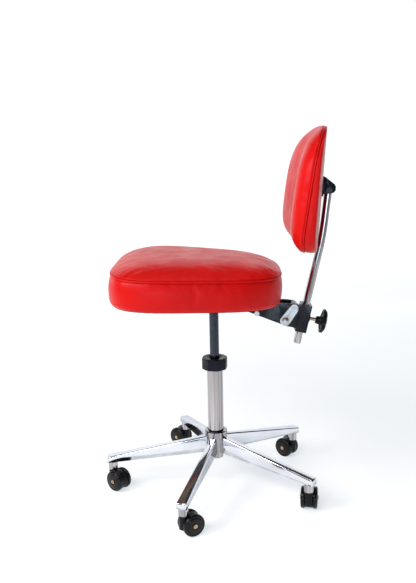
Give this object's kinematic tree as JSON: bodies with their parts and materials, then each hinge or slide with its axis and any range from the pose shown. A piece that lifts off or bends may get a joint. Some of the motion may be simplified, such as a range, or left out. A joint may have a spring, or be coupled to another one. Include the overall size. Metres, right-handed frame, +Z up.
{
  "type": "swivel work chair",
  "caption": "Swivel work chair on a chrome star base with twin-wheel castors, a clamped telescopic column, a red boxed seat and a small curved back pad on a sliding post.",
  "frame": {"origin": "on the floor, on the axis of the column", "axes": "+Z up; the sitter faces -Y, so the back pad is on the +Y side, and +X is on the sitter's left"},
  "size_m": [0.5356, 0.5444, 0.8533],
  "materials": {
    "base_chrome": "polished",
    "white_nylon": "satin",
    "caster_plastic": "satin",
    "caster_tread": "satin",
    "zinc_steel": "satin",
    "brass": "satin",
    "black_plastic": "satin",
    "black_steel": "satin",
    "red_vinyl": "satin",
    "foam": "matte",
    "plywood": "matte"
  },
  "bodies": {
    "base": {"base_hub": "base_chrome", "caster_sockets": "base_chrome", "column_tube": "base_chrome", "column_bush": "white_nylon", "base_arm_1": "base_chrome", "base_arm_2": "base_chrome", "base_arm_3": "base_chrome", "base_arm_4": "base_chrome", "base_arm_5": "base_chrome"},
    "collar": {"clamp_collar": "black_plastic"},
    "lift": {"spindle": "black_steel", "spindle_guide": "white_nylon", "swivel_bearing": "zinc_steel"},
    "seat": {"seat_plate": "black_steel", "seat_board": "plywood", "seat_foam": "foam", "seat_cover": "red_vinyl", "seat_piping": "red_vinyl", "seat_screws": "zinc_steel", "back_bracket": "black_steel", "bracket_bolts": "zinc_steel"},
    "back_tilt": {"back_clamp": "black_steel", "tilt_links": "zinc_steel", "pivot_bolt": "zinc_steel", "link_bolt": "zinc_steel"},
    "clamp_shoe": {"clamp_shoe": "brass"},
    "clamp_knob": {"knob_stud": "brass", "knob": "black_plastic"},
    "post": {"back_post": "base_chrome"},
    "pad": {"pad_bracket": "black_steel", "pad_pin": "zinc_steel", "back_board": "plywood", "back_foam": "foam", "back_cover": "red_vinyl", "back_piping": "red_vinyl"},
    "caster_1": {"caster_body_1": "caster_plastic", "caster_stem_1": "zinc_steel", "caster_axle_1": "brass"},
    "wheel_1a": {"caster_wheel_1a": "caster_tread"},
    "wheel_1b": {"caster_wheel_1b": "caster_tread"},
    "caster_2": {"caster_body_2": "caster_plastic", "caster_stem_2": "zinc_steel", "caster_axle_2": "brass"},
    "wheel_2a": {"caster_wheel_2a": "caster_tread"},
    "wheel_2b": {"caster_wheel_2b": "caster_tread"},
    "caster_3": {"caster_body_3": "caster_plastic", "caster_stem_3": "zinc_steel", "caster_axle_3": "brass"},
    "wheel_3a": {"caster_wheel_3a": "caster_tread"},
    "wheel_3b": {"caster_wheel_3b": "caster_tread"},
    "caster_4": {"caster_body_4": "caster_plastic", "caster_stem_4": "zinc_steel", "caster_axle_4": "brass"},
    "wheel_4a": {"caster_wheel_4a": "caster_tread"},
    "wheel_4b": {"caster_wheel_4b": "caster_tread"},
    "caster_5": {"caster_body_5": "caster_plastic", "caster_stem_5": "zinc_steel", "caster_axle_5": "brass"},
    "wheel_5a": {"caster_wheel_5a": "caster_tread"},
    "wheel_5b": {"caster_wheel_5b": "caster_tread"}
  },
  "joints": [
    {"name": "collar_turn", "type": "hinge", "parent": "base", "child": "collar", "pos_m": [0, 0, 0.306], "axis": [0, 0, 1], "range_deg": [0, 90]},
    {"name": "seat_height", "type": "slide", "parent": "base", "child": "lift", "axis": [0, 0, 1], "range_m": [-0.09, 0.015]},
    {"name": "seat_swivel", "type": "hinge", "parent": "lift", "child": "seat", "pos_m": [0, 0, 0.45], "axis": [0, 0, 1], "continuous": true},
    {"name": "back_tilt", "type": "hinge", "parent": "seat", "child": "back_tilt", "pos_m": [0, 0.1648, 0.416], "axis": [1, 0, 0], "range_deg": [-12, 2]},
    {"name": "post_height", "type": "slide", "parent": "back_tilt", "child": "post", "axis": [0, 0.2233, 0.9748], "range_m": [-0.05, 0.028]},
    {"name": "pad_tilt", "type": "hinge", "parent": "post", "child": "pad", "pos_m": [0, 0.2625, 0.7125], "axis": [1, 0, 0], "range_deg": [-10, 1]},
    {"name": "screw_travel", "type": "slide", "parent": "back_tilt", "child": "clamp_shoe", "axis": [0, 0.9748, -0.2233], "range_m": [0, 0.0032]},
    {"name": "knob_turn", "type": "hinge", "parent": "clamp_shoe", "child": "clamp_knob", "pos_m": [0, 0.2076, 0.4185], "axis": [0, 0.9748, -0.2233], "range_deg": [0, 900]},
    {"name": "caster_1_swivel", "type": "hinge", "parent": "base", "child": "caster_1", "pos_m": [0.01141, -0.25124, 0.049], "axis": [0, 0, 1], "continuous": true},
    {"name": "caster_1_roll_a", "type": "hinge", "parent": "caster_1", "child": "wheel_1a", "pos_m": [0.02274, -0.23725, 0.025], "axis": [-0.7771, 0.6293, 0], "continuous": true},
    {"name": "caster_1_roll_b", "type": "hinge", "parent": "caster_1", "child": "wheel_1b", "pos_m": [0.02274, -0.23725, 0.025], "axis": [-0.7771, 0.6293, 0], "continuous": true},
    {"name": "caster_2_swivel", "type": "hinge", "parent": "base", "child": "caster_2", "pos_m": [0.24247, -0.06679, 0.049], "axis": [0, 0, 1], "continuous": true},
    {"name": "caster_2_roll_a", "type": "hinge", "parent": "caster_2", "child": "wheel_2a", "pos_m": [0.2332, -0.05136, 0.025], "axis": [-0.8572, -0.515, 0], "continuous": true},
    {"name": "caster_2_roll_b", "type": "hinge", "parent": "caster_2", "child": "wheel_2b", "pos_m": [0.2332, -0.05136, 0.025], "axis": [-0.8572, -0.515, 0], "continuous": true},
    {"name": "caster_3_swivel", "type": "hinge", "parent": "base", "child": "caster_3", "pos_m": [0.13845, 0.20996, 0.049], "axis": [0, 0, 1], "continuous": true},
    {"name": "caster_3_roll_a", "type": "hinge", "parent": "caster_3", "child": "wheel_3a", "pos_m": [0.12067, 0.21278, 0.025], "axis": [-0.1564, -0.9877, 0], "continuous": true},
    {"name": "caster_3_roll_b", "type": "hinge", "parent": "caster_3", "child": "wheel_3b", "pos_m": [0.12067, 0.21278, 0.025], "axis": [-0.1564, -0.9877, 0], "continuous": true},
    {"name": "caster_4_swivel", "type": "hinge", "parent": "base", "child": "caster_4", "pos_m": [-0.15691, 0.19655, 0.049], "axis": [0, 0, 1], "continuous": true},
    {"name": "caster_4_roll_a", "type": "hinge", "parent": "caster_4", "child": "wheel_4a", "pos_m": [-0.16848, 0.18276, 0.025], "axis": [0.766, -0.6428, 0], "continuous": true},
    {"name": "caster_4_roll_b", "type": "hinge", "parent": "caster_4", "child": "wheel_4b", "pos_m": [-0.16848, 0.18276, 0.025], "axis": [0.766, -0.6428, 0], "continuous": true},
    {"name": "caster_5_swivel", "type": "hinge", "parent": "base", "child": "caster_5", "pos_m": [-0.23542, -0.08849, 0.049], "axis": [0, 0, 1], "continuous": true},
    {"name": "caster_5_roll_a", "type": "hinge", "parent": "caster_5", "child": "wheel_5a", "pos_m": [-0.24625, -0.10286, 0.025], "axis": [0.7986, -0.6018, 0], "continuous": true},
    {"name": "caster_5_roll_b", "type": "hinge", "parent": "caster_5", "child": "wheel_5b", "pos_m": [-0.24625, -0.10286, 0.025], "axis": [0.7986, -0.6018, 0], "continuous": true}
  ],
  "couplings": [
    {"joint": "screw_travel", "follows": "knob_turn", "m_per_rad": 0.00019894}
  ]
}
